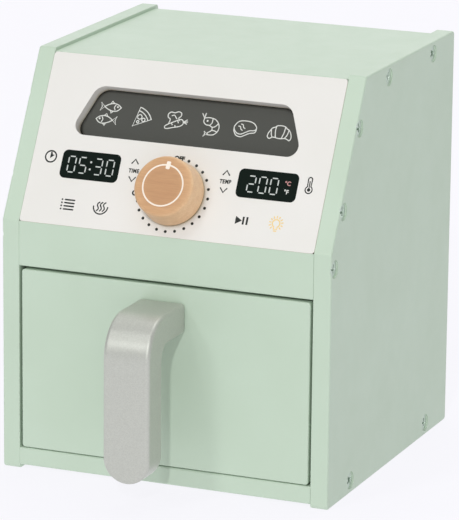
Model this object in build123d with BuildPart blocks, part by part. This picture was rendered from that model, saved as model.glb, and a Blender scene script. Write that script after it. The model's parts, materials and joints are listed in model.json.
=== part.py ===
from build123d import *

from math import cos, hypot, radians, sin
import os

os.makedirs("parts", exist_ok=True)

# Casing, in millimetres: X runs across the toy, Y from its front to its back and Z up
body_width = 172.0
side_height = 204.0
side_depth = 167.0
board = 9.0
bend_height = 126.0
top_setback = 42.5
top_step = 1.6
top_rear_step = 4.0
bottom_step = 2.0
rail_bottom = 103.4
board_round = 1.0
board_inner_round = 0.4
profile_round = 2.0
joint_round = 0.2

# Thin panel in grooves at the back
back_thickness = 3.0
back_inset = 8.0
groove_depth = 4.0
groove_play = 0.2

# Control panel: distances up the slope are counted from the bend
window_middle = 0.3
window_turn = -0.27
window_low = 46.0
window_high = 71.5
window_half_low = 61.05
window_half_high = 50.75
window_low_corner = 5.5
window_high_corner = 7.3
panel_corner = 1.5
dial_middle = 0.35
dial_up = 21.5
sheet_depth = 6.2
sheet_thickness = 2.0
sheet_side_lap = 7.0
sheet_lap = 6.0
sheet_corner = 3.0

# Dial: distances out are counted from the face of the control panel
knob_height = 15.0
knob_base_radius = 16.1
knob_rim_radius = 15.0
knob_rim_round = 2.2
knob_base_round = 0.8
front_washer_radius = 8.0
front_washer_thickness = 0.7
running_gap = 0.3
bush_radius = 4.0
bush_flange_radius = 7.0
bush_flange_thickness = 1.0
bolt_radius = 2.5
bolt_length = 20.0
bolt_head_radius = 4.75
bolt_head_height = 3.7
bolt_play = 0.05
rear_washer_radius = 5.0
rear_washer_thickness = 1.0
insert_radius = 3.5
insert_length = 9.0

# Drawer
front_side_gap = 1.3
front_bottom = 11.4
front_top = 102.0
front_corner = 1.6
front_round = 0.8
drawer_side_gap = 2.0
drawer_wall_top = 86.0
drawer_stop_gap = 0.4
drawer_floor_rise = 4.0
drawer_floor_thickness = 3.0
wall_round = 1.5

# Handle
handle_reach = 43.0
handle_middle = -0.7
handle_width = 24.0
handle_top = 94.5
handle_arm = 14.9
handle_tip = 14.1
handle_grip = 16.4
handle_outer_bend = 20.0
handle_inner_bend = 7.0
handle_round = 2.0
handle_foot_round = 1.5
handle_screw_half_spacing = 6.0

# Fasteners
screw_head_radius = 4.0
screw_head_rim = 0.1
screw_radius = 2.0
screw_length = 30.0
panel_screw_length = 20.0
screw_tip = 4.0
screw_sunk = 0.85
screw_play = 0.05
countersink_radius = 4.4
countersink_angle = 90.0
cross_length = 4.6
cross_width = 1.2
cross_depth = 1.7
cross_taper = 12.0
pan_head_height = 2.6
window_screw_head_radius = 2.5
window_screw_head_height = 1.6
window_screw_radius = 1.25
window_screw_length = 6.0
window_screw_inset = 3.5
dowel_radius = 3.0
dowel_length = 24.0
dowel_short_end = 6.0

# Places that follow from the driving dimensions, with the origin under the middle of the whole toy
front_y = (handle_reach - side_depth) / 2
rear_y = front_y + side_depth
half_width = body_width / 2
inner_half = half_width - board
top_face = side_height - top_step
floor_face = bottom_step + board
slope_length = hypot(top_setback, side_height - bend_height)
up_y = top_setback / slope_length
up_z = (side_height - bend_height) / slope_length
panel_height = (top_face - bend_height) / up_z
panel_inner_high = panel_height - board * (1 - up_y) / up_z
panel_inner_low = board * (1 - up_z) / up_y
back_y = rear_y - back_inset - back_thickness
back_middle = (top_face + bottom_step) / 2
back_height = top_face - bottom_step - 2 * (board - groove_depth)
drawer_rear = back_y - drawer_stop_gap
drawer_half = inner_half - drawer_side_gap
drawer_inner_half = drawer_half - board
drawer_base = floor_face + running_gap
drawer_floor = drawer_base + drawer_floor_rise
knob_base = front_washer_thickness + running_gap
countersink_start = screw_sunk + screw_head_rim + screw_head_radius + screw_play - countersink_radius
bush_end = board + bush_flange_thickness
bolt_seat = bush_end + running_gap + rear_washer_thickness


def on_slope(up, inward):
    """The (y, z) of a point so far up the sloping face and so far in behind it."""
    return front_y + up * up_y + inward * up_z, bend_height + up * up_z - inward * up_y


def both_ends(points, x):
    """Planes that face outwards at x on the two sides of the toy, at each (y, z) point."""
    return [Plane(origin=(hand * x, *point), z_dir=(hand, 0, 0)) for hand in (-1, 1) for point in points]


def behind_panel(depth, spots):
    """Planes that face into the toy, so deep behind the control panel's face, at each (x, up) spot."""
    return [
        Plane(origin=(x, *on_slope(up, depth)), x_dir=(1, 0, 0), z_dir=(0, up_z, -up_y)) for x, up in spots
    ]


def drawer_dowel_planes(y):
    """Planes that face the back of the toy at the four dowels of the drawer front."""
    middle = drawer_half - board / 2
    spots = [(x, height) for x in (-middle, middle) for height in drawer_dowel_heights]
    return [Plane(origin=(x, y, height), z_dir=(0, 1, 0)) for x, height in spots]


def window_outline(side_lap, lap):
    """The (x, up) corners of the window, or of a larger shape that laps it at its sides and ends."""
    lean = (window_half_low - window_half_high) / (window_high - window_low)
    low, high = window_low - lap, window_high + lap
    half_low = window_half_low + lap * lean + side_lap * hypot(1, lean)
    half_high = window_half_high - lap * lean + side_lap * hypot(1, lean)
    corners = [(-half_low, low), (half_low, low), (half_high, high), (-half_high, high)]
    turn = radians(window_turn)
    middle_up = (window_low + window_high) / 2
    return [
        (
            window_middle + x * cos(turn) - (up - middle_up) * sin(turn),
            middle_up + x * sin(turn) + (up - middle_up) * cos(turn),
        )
        for x, up in corners
    ]


slope_out = (0, -up_z, up_y)
panel_face = Plane(origin=(0, *on_slope(0, 0)), x_dir=(1, 0, 0), z_dir=slope_out)
dial_face = Plane(origin=(dial_middle, *on_slope(dial_up, 0)), x_dir=(1, 0, 0), z_dir=slope_out)
dial_section = Plane(origin=dial_face.origin, x_dir=(1, 0, 0), z_dir=(0, -up_y, -up_z))
dial_axis = Axis(dial_face.origin, slope_out)

# Where the screws and dowels lie: (y, z) points in the middle of each board's end
top_screw_points = [(front_y + back, top_face - board / 2) for back in (73.5, 136.0)]
floor_screw_points = [(front_y + back, bottom_step + board / 2) for back in (30.5, 136.0)]
panel_screw_points = [on_slope(up, board / 2) for up in (23.0, 64.5)]
rail_screw_points = [(front_y + board / 2, 118.5)]
rail_dowel_points = [(front_y + board / 2, 109.5)]
drawer_dowel_heights = (32.0, 68.0)
drawer_screw_points = [(drawer_rear - board / 2, height) for height in drawer_dowel_heights]
handle_screw_planes = [
    Plane(origin=(x, front_y + board, handle_top - handle_arm / 2), z_dir=(0, 1, 0))
    for x in (handle_middle - handle_screw_half_spacing, handle_middle + handle_screw_half_spacing)
]
window_screw_spots = window_outline(sheet_side_lap / 2, -window_screw_inset)
side_screw_points = top_screw_points + floor_screw_points + panel_screw_points + rail_screw_points


def wood_screw(length):
    """A countersunk wood screw along Z: its head faces up at the origin, with a cross recess."""
    neck = -screw_head_rim - (screw_head_radius - screw_radius)
    with BuildPart() as screw:
        with BuildSketch(Plane.XZ):
            with BuildLine():
                Polyline(
                    (0, 0),
                    (screw_head_radius, 0),
                    (screw_head_radius, -screw_head_rim),
                    (screw_radius, neck),
                    (screw_radius, screw_tip - length),
                    (0, -length),
                    close=True,
                )
            make_face()
        revolve(axis=Axis.Z)
        with BuildSketch():
            Rectangle(cross_length, cross_width)
            Rectangle(cross_width, cross_length)
        extrude(amount=-cross_depth, taper=cross_taper, mode=Mode.SUBTRACT)
    return screw.part


def pan_screw(head_radius, head_height, shank_radius, length):
    """A pan-head screw along Z: its head stands on the origin and its shank hangs below it."""
    with BuildPart() as screw:
        Cylinder(head_radius, head_height, align=(Align.CENTER, Align.CENTER, Align.MIN))
        fillet(screw.edges().sort_by(Axis.Z)[-1], head_height * 0.6)
        Cylinder(shank_radius, length, align=(Align.CENTER, Align.CENTER, Align.MAX))
        chamfer(screw.edges().sort_by(Axis.Z)[0], shank_radius * 0.3)
        with BuildSketch(Plane.XY.offset(head_height)):
            Rectangle(head_radius, head_radius / 4)
            Rectangle(head_radius / 4, head_radius)
        extrude(amount=-head_height * 0.6, taper=cross_taper, mode=Mode.SUBTRACT)
    return screw.part


# Side panels: one profile with the sloping front, a groove for the back and seven screw holes
with BuildPart() as right_side_panel:
    with BuildSketch(Plane.YZ.offset(inner_half)) as profile:
        with BuildLine():
            Polyline(
                (front_y, 0),
                (rear_y, 0),
                (rear_y, side_height),
                (front_y + top_setback, side_height),
                (front_y, bend_height),
                close=True,
            )
        make_face()
        fillet(profile.vertices(), profile_round)
    extrude(amount=board)
    fillet(right_side_panel.faces().sort_by(Axis.X)[-1].edges(), board_round)
    fillet(right_side_panel.faces().sort_by(Axis.X)[0].edges(), board_inner_round)
    with BuildSketch(Plane.YZ.offset(inner_half)):
        with Locations((back_y + back_thickness / 2, back_middle)):
            Rectangle(back_thickness + groove_play, back_height)
    extrude(amount=groove_depth + groove_play, mode=Mode.SUBTRACT)
    countersink_planes = [
        Plane(origin=(half_width - countersink_start, *point), z_dir=(1, 0, 0)) for point in side_screw_points
    ]
    with Locations(*countersink_planes):
        CounterSinkHole(
            screw_radius + screw_play, countersink_radius, board + 1, counter_sink_angle=countersink_angle
        )
    with Locations(*[Plane(origin=(inner_half, *point), z_dir=(-1, 0, 0)) for point in rail_dowel_points]):
        Hole(dowel_radius + screw_play, dowel_short_end + groove_play)
right_side_panel.part.label = "right_side_panel"
export_step(right_side_panel.part, "parts/right_side_panel.step")

with BuildPart() as left_side_panel:
    mirror(right_side_panel.part, about=Plane.YZ)
left_side_panel.part.label = "left_side_panel"
export_step(left_side_panel.part, "parts/left_side_panel.step")

# Bottom board
with BuildPart() as bottom_board:
    with BuildSketch(Plane.XY.offset(bottom_step)):
        with Locations((0, (front_y + rear_y) / 2)):
            Rectangle(2 * inner_half, side_depth)
    extrude(amount=board)
    fillet(bottom_board.edges().filter_by(Axis.X), board_round)
    with BuildSketch(Plane.XY.offset(floor_face)):
        with Locations((0, back_y + back_thickness / 2)):
            Rectangle(2 * inner_half, back_thickness + groove_play)
    extrude(amount=-groove_depth - groove_play, mode=Mode.SUBTRACT)
    with Locations(*both_ends(floor_screw_points, inner_half)):
        Hole(screw_radius + screw_play, screw_length - board + 1)
bottom_board.part.label = "bottom_board"
export_step(bottom_board.part, "parts/bottom_board.step")

# Top board, mitred against the control panel
with BuildPart() as top_board:
    with BuildSketch(Plane.YZ.offset(-inner_half)):
        with BuildLine():
            Polyline(
                on_slope(panel_height, 0),
                (rear_y - top_rear_step, top_face),
                (rear_y - top_rear_step, top_face - board),
                on_slope(panel_inner_high, board),
                close=True,
            )
        make_face()
    extrude(amount=2 * inner_half)
    fillet(top_board.faces().sort_by(Axis.Z)[-1].edges(), joint_round)
    with BuildSketch(Plane.XY.offset(top_face - board)):
        with Locations((0, back_y + back_thickness / 2)):
            Rectangle(2 * inner_half, back_thickness + groove_play)
    extrude(amount=groove_depth + groove_play, mode=Mode.SUBTRACT)
    with Locations(*both_ends(top_screw_points, inner_half)):
        Hole(screw_radius + screw_play, screw_length - board + 1)
top_board.part.label = "top_board"
export_step(top_board.part, "parts/top_board.step")

# Back panel, held in the grooves all round
with BuildPart() as back_panel:
    with BuildSketch(Plane.XZ.offset(-back_y - back_thickness)):
        with Locations((0, back_middle)):
            Rectangle(2 * (inner_half + groove_depth), back_height - groove_play)
    extrude(amount=back_thickness)
back_panel.part.label = "back_panel"
export_step(back_panel.part, "parts/back_panel.step")

# Control panel: mitred at both ends, with the window, a pocket for its sheet and the dial's bore
with BuildPart() as control_panel:
    with BuildSketch(Plane.YZ.offset(-inner_half)):
        with BuildLine():
            Polyline(
                on_slope(0, 0),
                on_slope(panel_height, 0),
                on_slope(panel_inner_high, board),
                on_slope(panel_inner_low, board),
                close=True,
            )
        make_face()
    extrude(amount=2 * inner_half)
    long_edges = control_panel.faces().filter_by(Axis.X).edges().filter_by(Axis((0, 0, 0), (0, up_y, up_z)))
    mitre_edges = control_panel.faces().filter_by(Axis.X).edges() - long_edges
    fillet(mitre_edges, panel_corner)
    with BuildSketch(panel_face) as window:
        with BuildLine():
            Polyline(*window_outline(0, 0), close=True)
        make_face()
        fillet(window.vertices().sort_by(Axis.Y)[:2], window_low_corner)
        fillet(window.vertices().sort_by(Axis.Y)[-2:], window_high_corner)
    extrude(amount=-board, mode=Mode.SUBTRACT)
    fillet(control_panel.faces().sort_by(dial_axis)[-1].edges(), joint_round)
    with BuildSketch(panel_face.offset(-board)) as pocket:
        with BuildLine():
            Polyline(*window_outline(sheet_side_lap + groove_play, sheet_lap + groove_play), close=True)
        make_face()
        fillet(pocket.vertices(), sheet_corner)
    extrude(amount=board - sheet_depth, mode=Mode.SUBTRACT)
    with Locations(dial_face):
        Hole(bush_radius + bolt_play)
    with Locations(*both_ends(panel_screw_points, inner_half)):
        Hole(screw_radius + screw_play, panel_screw_length - board + 1)
    with Locations(*behind_panel(sheet_depth, window_screw_spots)):
        Hole(window_screw_radius + screw_play, window_screw_length - sheet_thickness + groove_play)
control_panel.part.label = "control_panel"
export_step(control_panel.part, "parts/control_panel.step")

# Dark sheet in the pocket behind the window
with BuildPart() as display_window:
    with BuildSketch(panel_face.offset(-sheet_depth)) as sheet:
        with BuildLine():
            Polyline(*window_outline(sheet_side_lap, sheet_lap), close=True)
        make_face()
        fillet(sheet.vertices(), sheet_corner)
    extrude(amount=-sheet_thickness)
    with Locations(*behind_panel(sheet_depth + sheet_thickness, window_screw_spots)):
        Hole(window_screw_radius + 2 * screw_play, sheet_thickness)
display_window.part.label = "display_window"
export_step(display_window.part, "parts/display_window.step")

with BuildPart() as window_screws:
    with Locations(*behind_panel(sheet_depth + sheet_thickness, window_screw_spots)):
        add(
            pan_screw(
                window_screw_head_radius,
                window_screw_head_height,
                window_screw_radius,
                window_screw_length,
            )
        )
window_screws.part.label = "window_screws"
export_step(window_screws.part, "parts/window_screws.step")

# Front rail between the control panel and the drawer, on one screw and one dowel a side
with BuildPart() as front_rail:
    with BuildSketch(Plane.YZ.offset(-inner_half)):
        with BuildLine():
            Polyline(
                (front_y, rail_bottom),
                (front_y + board, rail_bottom),
                on_slope(panel_inner_low, board),
                on_slope(0, 0),
                close=True,
            )
        make_face()
    extrude(amount=2 * inner_half)
    fillet(front_rail.edges().filter_by(Axis.X).group_by(Axis.Z)[0], board_round)
    fillet(front_rail.faces().sort_by(Axis.Y)[0].edges().filter_by(Axis.Z), joint_round)
    with Locations(*both_ends(rail_screw_points, inner_half)):
        Hole(screw_radius + screw_play, screw_length - board + 1)
    with Locations(*both_ends(rail_dowel_points, inner_half)):
        Hole(dowel_radius + screw_play, dowel_length - dowel_short_end + groove_play)
front_rail.part.label = "front_rail"
export_step(front_rail.part, "parts/front_rail.step")

with BuildPart() as front_rail_dowels:
    with Locations(*both_ends(rail_dowel_points, inner_half + dowel_short_end)):
        Cylinder(dowel_radius, dowel_length, align=(Align.CENTER, Align.CENTER, Align.MAX))
front_rail_dowels.part.label = "front_rail_dowels"
export_step(front_rail_dowels.part, "parts/front_rail_dowels.step")

# Countersunk screws through the side panels, one node for each board that they hold
side_screw_groups = {
    "top_board_screws": (top_screw_points, screw_length),
    "control_panel_screws": (panel_screw_points, panel_screw_length),
    "front_rail_screws": (rail_screw_points, screw_length),
    "bottom_board_screws": (floor_screw_points, screw_length),
}
for name, (points, length) in side_screw_groups.items():
    with BuildPart() as side_screws:
        with Locations(*both_ends(points, half_width - screw_sunk)):
            add(wood_screw(length))
    side_screws.part.label = name
    export_step(side_screws.part, f"parts/{name}.step")

# Dial: a plastic bush in the control panel, in which the knob's bolt turns
with BuildPart() as dial_bush:
    with BuildSketch(dial_section):
        with BuildLine():
            Polyline(
                (bolt_radius + bolt_play, 0),
                (bush_radius, 0),
                (bush_radius, -board),
                (bush_flange_radius, -board),
                (bush_flange_radius, -bush_end),
                (bolt_radius + bolt_play, -bush_end),
                close=True,
            )
        make_face()
    revolve(axis=dial_axis)
dial_bush.part.label = "dial_bush"
export_step(dial_bush.part, "parts/dial_bush.step")

with BuildPart() as dial_front_washer:
    with BuildSketch(dial_face):
        Circle(front_washer_radius)
        Circle(bolt_radius + 2 * bolt_play, mode=Mode.SUBTRACT)
    extrude(amount=front_washer_thickness)
dial_front_washer.part.label = "dial_front_washer"
export_step(dial_front_washer.part, "parts/dial_front_washer.step")

with BuildPart() as dial_knob:
    with BuildSketch(dial_section) as knob_profile:
        with BuildLine():
            Polyline(
                (0, knob_base),
                (knob_base_radius, knob_base),
                (knob_rim_radius, knob_height),
                (0, knob_height),
                close=True,
            )
        make_face()
        fillet(knob_profile.vertices().group_by(Axis.Y)[0].sort_by(Axis.X)[-1], knob_base_round)
        fillet(knob_profile.vertices().group_by(Axis.Y)[-1].sort_by(Axis.X)[-1], knob_rim_round)
    revolve(axis=dial_axis)
    with Locations(Plane(origin=dial_face.offset(knob_base).origin, z_dir=(0, up_z, -up_y))):
        Hole(insert_radius + screw_play, insert_length + 1)
dial_knob.part.label = "dial_knob"
export_step(dial_knob.part, "parts/dial_knob.step")

with BuildPart() as dial_insert:
    with BuildSketch(dial_face.offset(knob_base)):
        Circle(insert_radius)
        Circle(bolt_radius + bolt_play, mode=Mode.SUBTRACT)
    extrude(amount=insert_length)
dial_insert.part.label = "dial_insert"
export_step(dial_insert.part, "parts/dial_insert.step")

with BuildPart() as dial_rear_washer:
    with BuildSketch(dial_face.offset(-bolt_seat)):
        Circle(rear_washer_radius)
        Circle(bolt_radius + 2 * bolt_play, mode=Mode.SUBTRACT)
    extrude(amount=rear_washer_thickness)
dial_rear_washer.part.label = "dial_rear_washer"
export_step(dial_rear_washer.part, "parts/dial_rear_washer.step")

with BuildPart() as dial_bolt:
    with Locations(*behind_panel(bolt_seat, [(dial_middle, dial_up)])):
        add(pan_screw(bolt_head_radius, bolt_head_height, bolt_radius, bolt_length))
dial_bolt.part.label = "dial_bolt"
export_step(dial_bolt.part, "parts/dial_bolt.step")

# Drawer front, flush with the casing and grooved for the drawer's floor
with BuildPart() as drawer_front:
    with BuildSketch(Plane.XZ.offset(-front_y)) as outline:
        with Locations((0, (front_bottom + front_top) / 2)):
            Rectangle(2 * (inner_half - front_side_gap), front_top - front_bottom)
        fillet(outline.vertices(), front_corner)
    extrude(amount=-board)
    fillet(drawer_front.faces().sort_by(Axis.Y)[0].edges(), front_round)
    fillet(drawer_front.faces().sort_by(Axis.Y)[-1].edges(), joint_round)
    with BuildSketch(Plane.XZ.offset(-front_y - board)):
        with Locations((0, drawer_floor + drawer_floor_thickness / 2)):
            Rectangle(
                2 * (drawer_inner_half + groove_depth + groove_play), drawer_floor_thickness + groove_play
            )
    extrude(amount=groove_depth + groove_play, mode=Mode.SUBTRACT)
    with Locations(*drawer_dowel_planes(front_y + board)):
        Hole(dowel_radius + screw_play, dowel_short_end + groove_play)
    with Locations(*handle_screw_planes):
        Hole(screw_radius + screw_play)
drawer_front.part.label = "drawer_front"
export_step(drawer_front.part, "parts/drawer_front.step")

# Drawer walls: the sides run the whole depth, the back stands between them
with BuildPart() as drawer_right_side:
    with BuildSketch(Plane.YZ.offset(drawer_inner_half)):
        with Locations(((front_y + board + drawer_rear) / 2, (drawer_base + drawer_wall_top) / 2)):
            Rectangle(drawer_rear - front_y - board, drawer_wall_top - drawer_base)
    extrude(amount=board)
    fillet(drawer_right_side.edges().filter_by(Axis.Y).group_by(Axis.Z)[-1], wall_round)
    fillet(drawer_right_side.edges().filter_by(Axis.Y).group_by(Axis.Z)[0], joint_round)
    with BuildSketch(Plane.YZ.offset(drawer_inner_half)):
        with Locations(((front_y + drawer_rear) / 2, drawer_floor + drawer_floor_thickness / 2)):
            Rectangle(side_depth, drawer_floor_thickness + groove_play)
    extrude(amount=groove_depth + groove_play, mode=Mode.SUBTRACT)
    countersink_planes = [
        Plane(origin=(drawer_half - countersink_start, *point), z_dir=(1, 0, 0))
        for point in drawer_screw_points
    ]
    with Locations(*countersink_planes):
        CounterSinkHole(
            screw_radius + screw_play, countersink_radius, board + 1, counter_sink_angle=countersink_angle
        )
    with Locations(*drawer_dowel_planes(front_y + board)):
        Hole(dowel_radius + screw_play, dowel_length - dowel_short_end + groove_play)
drawer_right_side.part.label = "drawer_right_side"
export_step(drawer_right_side.part, "parts/drawer_right_side.step")

with BuildPart() as drawer_left_side:
    mirror(drawer_right_side.part, about=Plane.YZ)
drawer_left_side.part.label = "drawer_left_side"
export_step(drawer_left_side.part, "parts/drawer_left_side.step")

with BuildPart() as drawer_back:
    with BuildSketch(Plane.YZ.offset(-drawer_inner_half)):
        with Locations((drawer_rear - board / 2, (drawer_base + drawer_wall_top) / 2)):
            Rectangle(board, drawer_wall_top - drawer_base)
    extrude(amount=2 * drawer_inner_half)
    fillet(drawer_back.edges().filter_by(Axis.X).group_by(Axis.Z)[-1], wall_round)
    with BuildSketch(Plane.XZ.offset(board - drawer_rear)):
        with Locations((0, drawer_floor + drawer_floor_thickness / 2)):
            Rectangle(2 * drawer_inner_half, drawer_floor_thickness + groove_play)
    extrude(amount=-groove_depth - groove_play, mode=Mode.SUBTRACT)
    with Locations(*both_ends(drawer_screw_points, drawer_inner_half)):
        Hole(screw_radius + screw_play, screw_length - board + 1)
drawer_back.part.label = "drawer_back"
export_step(drawer_back.part, "parts/drawer_back.step")

# Drawer floor, in a groove all round
with BuildPart() as drawer_bottom:
    floor_front = front_y + board - groove_depth
    floor_rear = drawer_rear - board + groove_depth
    with BuildSketch(Plane.XY.offset(drawer_floor)):
        with Locations((0, (floor_front + floor_rear) / 2)):
            Rectangle(2 * (drawer_inner_half + groove_depth), floor_rear - floor_front)
    extrude(amount=drawer_floor_thickness)
drawer_bottom.part.label = "drawer_bottom"
export_step(drawer_bottom.part, "parts/drawer_bottom.step")

with BuildPart() as drawer_front_dowels:
    with Locations(*drawer_dowel_planes(front_y + board - dowel_short_end)):
        Cylinder(dowel_radius, dowel_length, align=(Align.CENTER, Align.CENTER, Align.MIN))
drawer_front_dowels.part.label = "drawer_front_dowels"
export_step(drawer_front_dowels.part, "parts/drawer_front_dowels.step")

with BuildPart() as drawer_back_screws:
    with Locations(*both_ends(drawer_screw_points, drawer_half - screw_sunk)):
        add(wood_screw(screw_length))
drawer_back_screws.part.label = "drawer_back_screws"
export_step(drawer_back_screws.part, "parts/drawer_back_screws.step")

# Handle: an arm from the drawer front that bends down into a free-hanging grip with a round tip
with BuildPart() as drawer_handle:
    grip_out = front_y - handle_reach
    grip_in = grip_out + handle_grip
    arm_under = handle_top - handle_arm
    with BuildSketch(Plane.YZ.offset(handle_middle - handle_width / 2)) as hook:
        with BuildLine():
            Polyline(
                (front_y, handle_top),
                (grip_out, handle_top),
                (grip_out, handle_tip),
                (grip_in, handle_tip),
                (grip_in, arm_under),
                (front_y, arm_under),
                close=True,
            )
        make_face()
        fillet(hook.vertices().group_by(Axis.Y)[-1].sort_by(Axis.X)[0], handle_outer_bend)
        fillet(hook.vertices().sort_by_distance((grip_in, arm_under))[0], handle_inner_bend)
    extrude(amount=handle_width)
    with BuildSketch(Plane.XZ.offset(-front_y)):
        tip_middle = handle_tip + handle_width / 2
        with Locations((handle_middle, (tip_middle + handle_top) / 2)):
            Rectangle(handle_width, handle_top - tip_middle)
        with Locations((handle_middle, tip_middle)):
            Circle(handle_width / 2)
    extrude(amount=handle_reach, mode=Mode.INTERSECT)
    rim_on_drawer = drawer_handle.faces().sort_by(Axis.Y)[-1].edges()
    smooth_across = drawer_handle.edges().filter_by(Axis.X)
    smooth_at_tip = drawer_handle.edges().filter_by(Axis.Y).group_by(Axis.Z)[0]
    fillet(drawer_handle.edges() - rim_on_drawer - smooth_across - smooth_at_tip, handle_round)
    fillet(drawer_handle.faces().sort_by(Axis.Y)[-1].edges(), handle_foot_round)
    with Locations(*handle_screw_planes):
        Hole(screw_radius + screw_play, screw_length + 1)
drawer_handle.part.label = "drawer_handle"
export_step(drawer_handle.part, "parts/drawer_handle.step")

with BuildPart() as handle_screws:
    with Locations(*handle_screw_planes):
        add(pan_screw(screw_head_radius, pan_head_height, screw_radius, screw_length))
handle_screws.part.label = "handle_screws"
export_step(handle_screws.part, "parts/handle_screws.step")
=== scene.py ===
import json
import math

import bmesh
import bpy
from mathutils import Matrix, Vector


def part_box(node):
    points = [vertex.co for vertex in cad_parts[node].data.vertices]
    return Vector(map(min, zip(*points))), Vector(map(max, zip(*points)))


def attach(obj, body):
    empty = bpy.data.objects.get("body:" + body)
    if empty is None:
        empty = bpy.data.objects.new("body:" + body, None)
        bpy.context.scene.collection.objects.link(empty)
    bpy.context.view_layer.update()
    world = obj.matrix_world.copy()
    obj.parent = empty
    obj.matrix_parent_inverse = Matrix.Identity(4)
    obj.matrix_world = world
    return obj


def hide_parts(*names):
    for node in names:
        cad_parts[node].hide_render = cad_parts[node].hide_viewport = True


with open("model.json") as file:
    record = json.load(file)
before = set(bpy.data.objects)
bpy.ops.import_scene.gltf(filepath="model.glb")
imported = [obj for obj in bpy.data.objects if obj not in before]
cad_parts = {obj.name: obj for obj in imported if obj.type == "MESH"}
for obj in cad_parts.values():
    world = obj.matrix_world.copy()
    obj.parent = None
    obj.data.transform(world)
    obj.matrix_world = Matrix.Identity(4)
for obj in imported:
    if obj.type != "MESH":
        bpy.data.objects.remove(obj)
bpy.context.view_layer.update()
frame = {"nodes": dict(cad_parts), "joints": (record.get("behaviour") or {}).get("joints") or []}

MM = 0.001
scene = bpy.context.scene

# Camera, at the photograph's place, and the way that its picture is toned
camera_place = Vector((0.730286, -1.732418, 0.590379))
camera_back = Vector((0.37229, -0.89316, 0.25233)).normalized()
camera_roll = math.radians(0.577)
level_right = Vector((0, 0, 1)).cross(camera_back).normalized()
level_up = camera_back.cross(level_right)
camera_right = math.cos(camera_roll) * level_right + math.sin(camera_roll) * level_up
camera_up = math.cos(camera_roll) * level_up - math.sin(camera_roll) * level_right

camera_data = bpy.data.cameras.new("photo_camera")
camera_data.lens = 272.16
camera_data.sensor_width = 36.0
camera_data.clip_start, camera_data.clip_end = 0.1, 60
camera = bpy.data.objects.new("photo_camera", camera_data)
camera.matrix_world = Matrix.Translation(camera_place) @ Matrix(
    (camera_right, camera_up, camera_back)
).transposed().to_4x4()
scene.collection.objects.link(camera)
scene.camera = camera

scene.view_settings.view_transform = "Standard"
scene.view_settings.look = "None"

# Finishes


def linear(red, green, blue):
    """A screen colour from 0 to 255 as the linear colour that a shader takes, by the sRGB curve."""
    return tuple(
        c / 255 / 12.92 if c <= 10 else ((c / 255 + 0.055) / 1.055) ** 2.4 for c in (red, green, blue)
    ) + (1.0,)


def dimmed(colour, share):
    """A linear colour with only a share of its light."""
    return tuple(c * share for c in colour[:3]) + (1.0,)


def plug(tree, socket, value):
    """Links a socket to another one, or gives it a value."""
    if isinstance(value, bpy.types.NodeSocket):
        tree.links.new(value, socket)
    else:
        socket.default_value = value


def add_node(tree, kind, settings, inputs):
    """A node. Its inputs go by name, with _ for a space, or by number as input0, input1 and so on."""
    made = tree.nodes.new(kind)
    for name, value in (settings or {}).items():
        setattr(made, name, value)
    for name, value in inputs.items():
        key = int(name[5:]) if name.startswith("input") else name.replace("_", " ")
        plug(tree, made.inputs[key], value)
    return made


class Finish:
    """A material with one Principled shader, and short ways to add the noise that varies it."""

    def __init__(self, name, **shader_values):
        self.material = bpy.data.materials.new(name)
        self.material.use_nodes = True
        self.tree = self.material.node_tree
        self.shader = next(n for n in self.tree.nodes if n.type == "BSDF_PRINCIPLED")
        self.finish(**shader_values)
        self.place = self.node("ShaderNodeTexCoord").outputs["Object"]

    def node(self, kind, settings=None, **inputs):
        return add_node(self.tree, kind, settings, inputs)

    def vector_math(self, operation, *vectors):
        """The outputs of vector maths on one or two vectors."""
        inputs = {f"input{i}": vector for i, vector in enumerate(vectors)}
        return self.node("ShaderNodeVectorMath", {"operation": operation}, **inputs).outputs

    def noise(self, size, detail=2.0, place=None):
        """Noise from 0 to 1 whose blotches are about size millimetres wide."""
        return self.node(
            "ShaderNodeTexNoise", Vector=place or self.place, Scale=1 / (size * MM), Detail=detail
        ).outputs["Fac"]

    def stretched(self, scale, rotation=(0, 0, 0)):
        """Object coordinates, scaled and turned, that draw a pattern out one way."""
        return self.node(
            "ShaderNodeMapping", Vector=self.place, Scale=scale, Rotation=rotation
        ).outputs["Vector"]

    def spread(self, value, low, high, start=0.3, end=0.7):
        """A value that runs from low to high while the given one runs from start to end."""
        limits = {"From_Min": start, "From_Max": end, "To_Min": low, "To_Max": high}
        return self.node("ShaderNodeMapRange", Value=value, **limits).outputs["Result"]

    def blend(self, amount, first, second):
        """The first colour where amount is 0, the second where it is 1."""
        colours = {"input6": first, "input7": second}
        return self.node("ShaderNodeMix", {"data_type": "RGBA"}, input0=amount, **colours).outputs[2]

    def hidden(self, reach, start, end):
        """1 where walls within reach millimetres shade the surface most, 0 where it lies open."""
        open_air = self.node("ShaderNodeAmbientOcclusion", {"samples": 8}, Distance=reach * MM)
        return self.spread(open_air.outputs["AO"], 1, 0, start, end)

    def bump(self, height, depth, under=None):
        """Relief of depth millimetres, on top of the relief under it."""
        beneath = {} if under is None else {"Normal": under}
        made = self.node("ShaderNodeBump", Height=height, Distance=depth * MM, **beneath)
        return made.outputs["Normal"]

    def finish(self, **sockets):
        """The material, once its shader has these values and links."""
        for name, value in sockets.items():
            plug(self.tree, self.shader.inputs[name.replace("_", " ")], value)
        return self.material


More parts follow.
